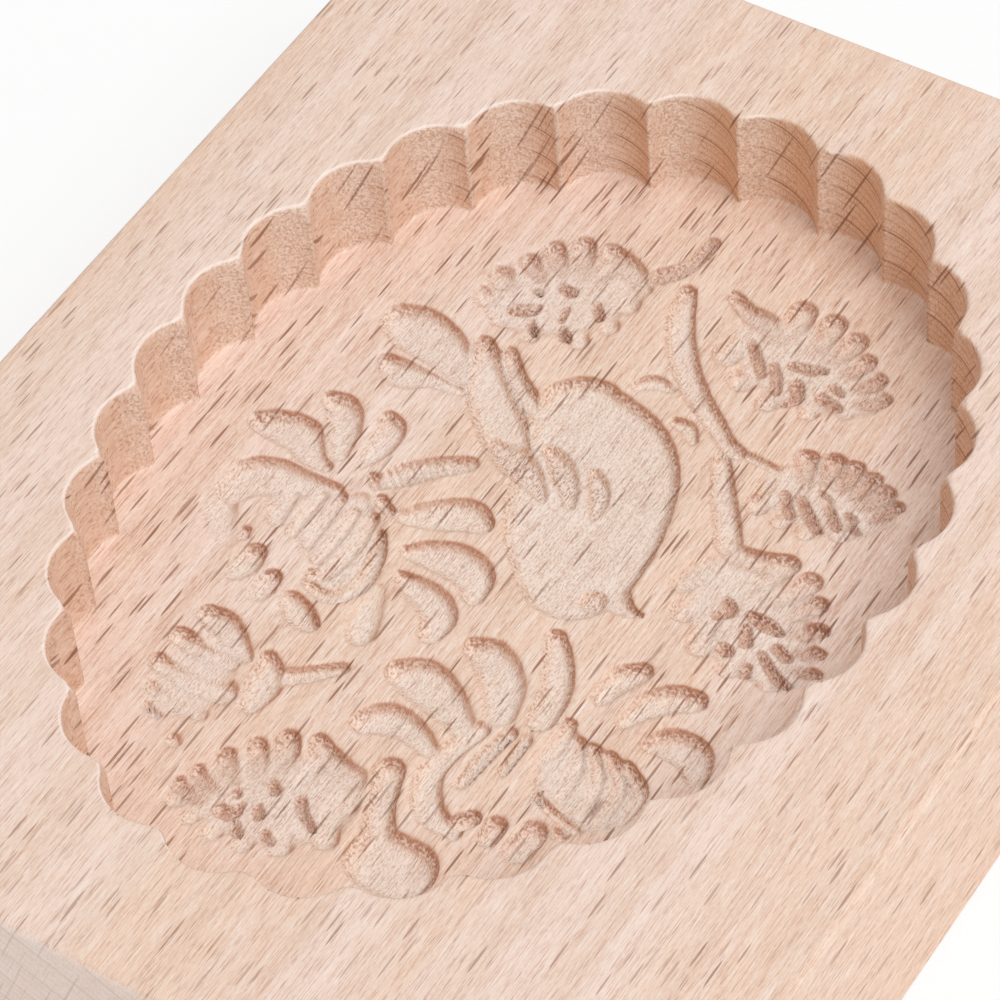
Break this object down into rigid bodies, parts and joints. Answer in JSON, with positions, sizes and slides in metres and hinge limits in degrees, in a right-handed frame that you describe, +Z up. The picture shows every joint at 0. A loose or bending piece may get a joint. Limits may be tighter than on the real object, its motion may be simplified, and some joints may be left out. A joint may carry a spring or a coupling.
{
  "type": "carved cookie mould",
  "caption": "Rectangular beech cookie mould with a fluted oval recess and a bird among flowers and leaves cut as hollows into its floor.",
  "frame": {"origin": "middle of the underside of the block", "axes": "+Z up out of the carved face, +Y along the grain and the long side towards the far end of the picture, +X across the grain"},
  "size_m": [0.1174, 0.15, 0.0295],
  "materials": {
    "beech": "bare flat-sawn beech, milled and fine-sanded, no varnish"
  },
  "bodies": {
    "root": {"mould_block": "beech"}
  },
  "joints": []
}
